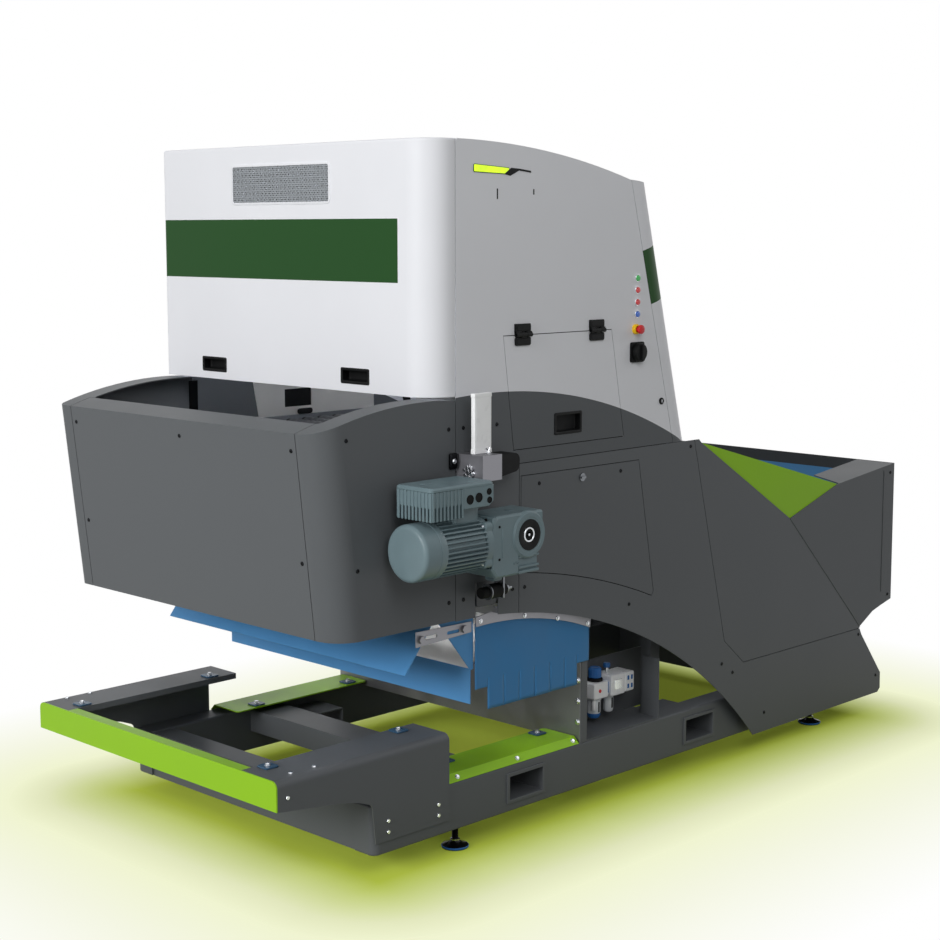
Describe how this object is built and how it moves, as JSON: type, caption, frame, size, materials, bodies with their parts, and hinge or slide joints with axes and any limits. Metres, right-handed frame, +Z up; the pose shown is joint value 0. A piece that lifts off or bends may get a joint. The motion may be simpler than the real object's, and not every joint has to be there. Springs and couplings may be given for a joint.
{
  "type": "optical crop grading machine",
  "caption": "Free-standing grader for round crops: roller conveyor under a camera hood, infeed hopper, discharge tub with chutes and slit curtain, on a beam base with fork pockets",
  "frame": {"origin": "on the floor, under the middle of the whole machine's bounding box", "axes": "+X runs from the discharge tub towards the infeed hopper, +Y towards the far side away from the drive, +Z up"},
  "size_m": [3.5622, 1.7365, 2.494],
  "materials": {
    "frame_paint": "satin powder coat",
    "casing_paint": "satin powder coat",
    "hood_paint": "satin powder coat",
    "front_paint": "satin powder coat",
    "green_paint": "semi-gloss paint",
    "drive_paint": "semi-gloss paint",
    "stainless": "brushed",
    "bright_steel": "zinc plated",
    "turned_steel": "turned",
    "bearing_iron": "as cast, painted",
    "chain_steel": "oiled",
    "bright_ring": "polished",
    "chute_plastic": "matte",
    "curtain_plastic": "matte",
    "roller_plastic": "matte",
    "black_plastic": "matte",
    "screw_black": "black oxide",
    "pad_plastic": "gloss",
    "foot_plastic": "matte",
    "white_plastic": "gloss",
    "knob_blue": "matte",
    "light_lens": "translucent gloss",
    "cap_green": "gloss",
    "cap_red": "gloss",
    "cap_blue": "gloss",
    "stop_yellow": "gloss",
    "stop_red": "gloss",
    "finger_plastic": "matte",
    "camera_plastic": "matte"
  },
  "bodies": {
    "machine": {"base_beams": "frame_paint", "cross_beams": "frame_paint", "fork_pockets": "frame_paint", "foot_pads": "foot_plastic", "dock_plates": "frame_paint", "dock_bar": "green_paint", "guide_covers": "green_paint", "guide_pads": "pad_plastic", "base_bolts": "bright_steel", "valve_bay": "frame_paint", "air_unit": "white_plastic", "inner_frame": "frame_paint", "seam_straps": "bright_steel", "tub_end": "casing_paint", "tub_sides": "casing_paint", "hood_roof": "hood_paint", "hood_sides": "hood_paint", "hood_rear": "hood_paint", "frame_hinges": "black_plastic", "lower_panels": "casing_paint", "hopper_sides": "casing_paint", "hopper_end": "casing_paint", "gussets": "green_paint", "hopper_liner": "chute_plastic", "light_strip": "light_lens", "black_fittings": "black_plastic", "button_bezels": "bright_ring", "stop_collar": "stop_yellow", "panel_screws": "screw_black", "motor": "drive_paint", "gear_case": "drive_paint", "inverter": "drive_paint", "bearing_blocks": "bearing_iron", "chains": "chain_steel", "carrier_rollers": "roller_plastic", "product_guides": "stainless", "steel_fittings": "stainless", "lubricator": "white_plastic", "chute_lower": "chute_plastic", "curtain": "curtain_plastic", "cameras": "camera_plastic"},
    "front_cover": {"hood_front": "front_paint"},
    "door": {"side_door": "hood_paint", "door_hinges": "black_plastic"},
    "start_cap": {"button_start": "cap_green"},
    "halt_cap": {"button_halt": "cap_red"},
    "fault_cap": {"button_fault": "cap_red"},
    "reset_cap": {"button_reset": "cap_blue"},
    "stop_cap": {"stop_button": "stop_red"},
    "main_switch": {"switch_knob": "black_plastic"},
    "lock_barrel": {"cabinet_lock": "black_plastic"},
    "access_turn": {"access_latch": "bright_ring"},
    "regulator": {"regulator_knob": "knob_blue"},
    "drive_axle": {"drive_shaft": "turned_steel"},
    "head_axle": {"head_shaft": "turned_steel"},
    "idler_axle": {"idler_shaft": "turned_steel"},
    "tail_axle": {"tail_shaft": "turned_steel"},
    "rotor": {"motor_rotor": "turned_steel"},
    "flap": {"chute_flap": "chute_plastic"},
    "fingers": {"reject_fingers": "finger_plastic"}
  },
  "joints": [
    {"name": "front_cover_hinge", "type": "hinge", "parent": "machine", "child": "front_cover", "pos_m": [-1.019, 0.088, 2.488], "axis": [0, 1, 0], "range_deg": [0, 75]},
    {"name": "side_door_hinge", "type": "hinge", "parent": "machine", "child": "door", "pos_m": [-0.4915, -0.661, 1.826], "axis": [-1, 0, 0], "range_deg": [0, 105]},
    {"name": "start_press", "type": "slide", "parent": "machine", "child": "start_cap", "axis": [0, 1, 0], "range_m": [0, 0.003], "stiffness_N_per_m": 800, "springref_m": -0.002},
    {"name": "halt_press", "type": "slide", "parent": "machine", "child": "halt_cap", "axis": [0, 1, 0], "range_m": [0, 0.003], "stiffness_N_per_m": 800, "springref_m": -0.002},
    {"name": "fault_press", "type": "slide", "parent": "machine", "child": "fault_cap", "axis": [0, 1, 0], "range_m": [0, 0.003], "stiffness_N_per_m": 800, "springref_m": -0.002},
    {"name": "reset_press", "type": "slide", "parent": "machine", "child": "reset_cap", "axis": [0, 1, 0], "range_m": [0, 0.003], "stiffness_N_per_m": 800, "springref_m": -0.002},
    {"name": "stop_press", "type": "slide", "parent": "machine", "child": "stop_cap", "axis": [0, 1, 0], "range_m": [0, 0.005]},
    {"name": "main_switch_turn", "type": "hinge", "parent": "machine", "child": "main_switch", "pos_m": [-0.06, -0.661, 1.734], "axis": [0, -1, 0], "range_deg": [0, 90]},
    {"name": "lock_turn", "type": "hinge", "parent": "machine", "child": "lock_barrel", "pos_m": [0.093, -0.655, 1.539], "axis": [0, -1, 0], "range_deg": [0, 90]},
    {"name": "access_latch_turn", "type": "hinge", "parent": "machine", "child": "access_turn", "pos_m": [-0.364, -0.654, 1.29], "axis": [0, -1, 0], "range_deg": [0, 90]},
    {"name": "regulator_turn", "type": "hinge", "parent": "machine", "child": "regulator", "pos_m": [-0.057, -0.461, 0.449], "axis": [0, 0, 1], "range_deg": [-150, 150]},
    {"name": "head_spin", "type": "hinge", "parent": "machine", "child": "head_axle", "pos_m": [-0.984, 0.088, 1.39], "axis": [0, 1, 0], "continuous": true},
    {"name": "drive_spin", "type": "hinge", "parent": "machine", "child": "drive_axle", "pos_m": [-0.862, 0.088, 1.162], "axis": [0, 1, 0], "continuous": true},
    {"name": "idler_spin", "type": "hinge", "parent": "machine", "child": "idler_axle", "pos_m": [-0.862, 0.088, 0.935], "axis": [0, 1, 0], "continuous": true},
    {"name": "tail_spin", "type": "hinge", "parent": "machine", "child": "tail_axle", "pos_m": [1.346, 0.088, 0.575], "axis": [0, 1, 0], "continuous": true},
    {"name": "rotor_spin", "type": "hinge", "parent": "machine", "child": "rotor", "pos_m": [-1.172, -0.772, 1.15], "axis": [1, 0, 0], "continuous": true},
    {"name": "flap_tilt", "type": "hinge", "parent": "machine", "child": "flap", "pos_m": [-1.024, 0.088, 0.882], "axis": [0, 1, 0], "range_deg": [-10, 12]},
    {"name": "finger_swing", "type": "hinge", "parent": "machine", "child": "fingers", "pos_m": [-1.254, 0.088, 1.33], "axis": [0, 1, 0], "range_deg": [-5, 35]}
  ],
  "couplings": [
    {"joint": "drive_spin", "follows": "head_spin", "ratio": 1},
    {"joint": "idler_spin", "follows": "head_spin", "ratio": 1},
    {"joint": "tail_spin", "follows": "head_spin", "ratio": 1},
    {"joint": "rotor_spin", "follows": "head_spin", "ratio": 20}
  ]
}
